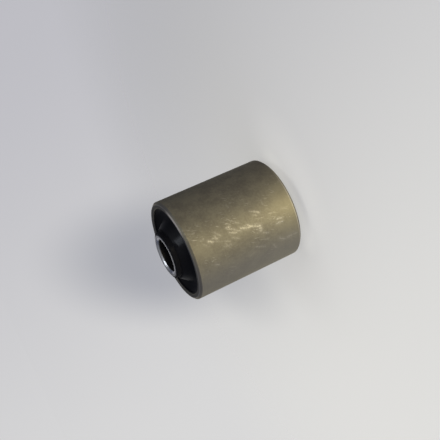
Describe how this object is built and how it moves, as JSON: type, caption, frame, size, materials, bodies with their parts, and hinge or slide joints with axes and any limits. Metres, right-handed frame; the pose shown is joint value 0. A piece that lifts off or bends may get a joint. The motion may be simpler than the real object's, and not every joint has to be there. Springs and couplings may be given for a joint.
{
  "type": "rubber metal bush",
  "caption": "Rubber metal bush: a steel outer sleeve and a longer steel inner sleeve with rubber bonded between them, for the pivot of a suspension arm.",
  "frame": {"origin": "centre of the bush, on its axis and half way along it", "axes": "+Z along the axis of the bush, up as it stands on one end; X and Y are any two directions across it, because the bush is round"},
  "size_m": [0.056, 0.056, 0.073],
  "materials": {
    "outer_steel": "dull olive-grey phosphated steel with pale scuffs",
    "rubber": "moulded black rubber, satin",
    "inner_steel": "bare turned steel"
  },
  "bodies": {
    "root": {"outer_sleeve": "outer_steel", "rubber_body": "rubber", "inner_sleeve": "inner_steel"}
  },
  "joints": []
}
